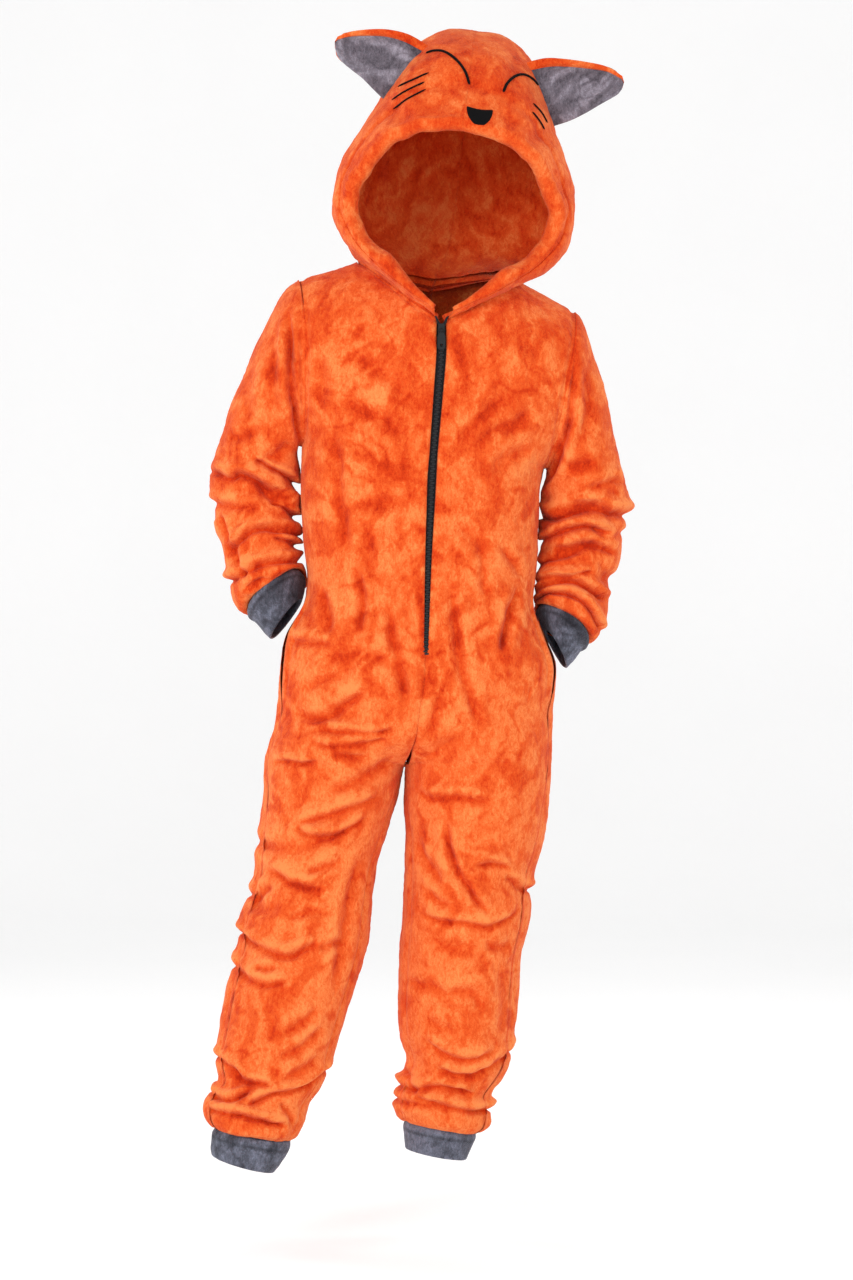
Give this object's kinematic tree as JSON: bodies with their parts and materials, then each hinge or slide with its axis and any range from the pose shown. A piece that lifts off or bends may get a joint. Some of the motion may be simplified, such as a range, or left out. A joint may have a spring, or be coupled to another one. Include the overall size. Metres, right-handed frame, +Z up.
{
  "type": "hooded cat onesie costume",
  "caption": "Child-size hooded one-piece costume in orange plush with cat ears, grey cuffs, a front zip and side-seam pockets, in its hollow worn form.",
  "frame": {"origin": "middle of the shoulders at the base of the neck, where the wearer holds the garment up", "axes": "+Z up along the trunk, -Y the way the front faces, +X to the wearer's left"},
  "size_m": [0.4745, 0.226, 1.2689],
  "materials": {
    "plush": "short crushed plush, orange with darker cloudy mottling",
    "cuff": "short plush, dark grey",
    "ear_front": "short plush, mid grey",
    "embroidery": "satin stitch, black",
    "zip_tape": "woven tape with moulded teeth, black",
    "zip_hardware": "black enamel"
  },
  "bodies": {
    "garment": {"front_right": "plush", "front_left": "plush", "back_right": "plush", "back_left": "plush", "sleeve_right": "plush", "sleeve_left": "plush", "wrist_cuff_right": "cuff", "wrist_cuff_left": "cuff", "ankle_cuff_right": "cuff", "ankle_cuff_left": "cuff", "hood_right": "plush", "hood_left": "plush", "hood_lining_right": "plush", "hood_lining_left": "plush", "ear_back_right": "plush", "ear_back_left": "plush", "ear_front_right": "ear_front", "ear_front_left": "ear_front", "nose": "embroidery", "pocket_bag_right": "plush", "pocket_bag_left": "plush", "zip_tape_right": "zip_tape", "zip_tape_left": "zip_tape", "zip_chain": "zip_tape", "zip_slider": "zip_hardware"},
    "pull": {"zip_pull": "zip_hardware"}
  },
  "joints": [
    {"name": "zip_pull_swing", "type": "hinge", "parent": "garment", "child": "pull", "pos_m": [0.00125, -0.09351, -0.059], "axis": [-1, 0, 0], "range_deg": [0, 130]}
  ]
}
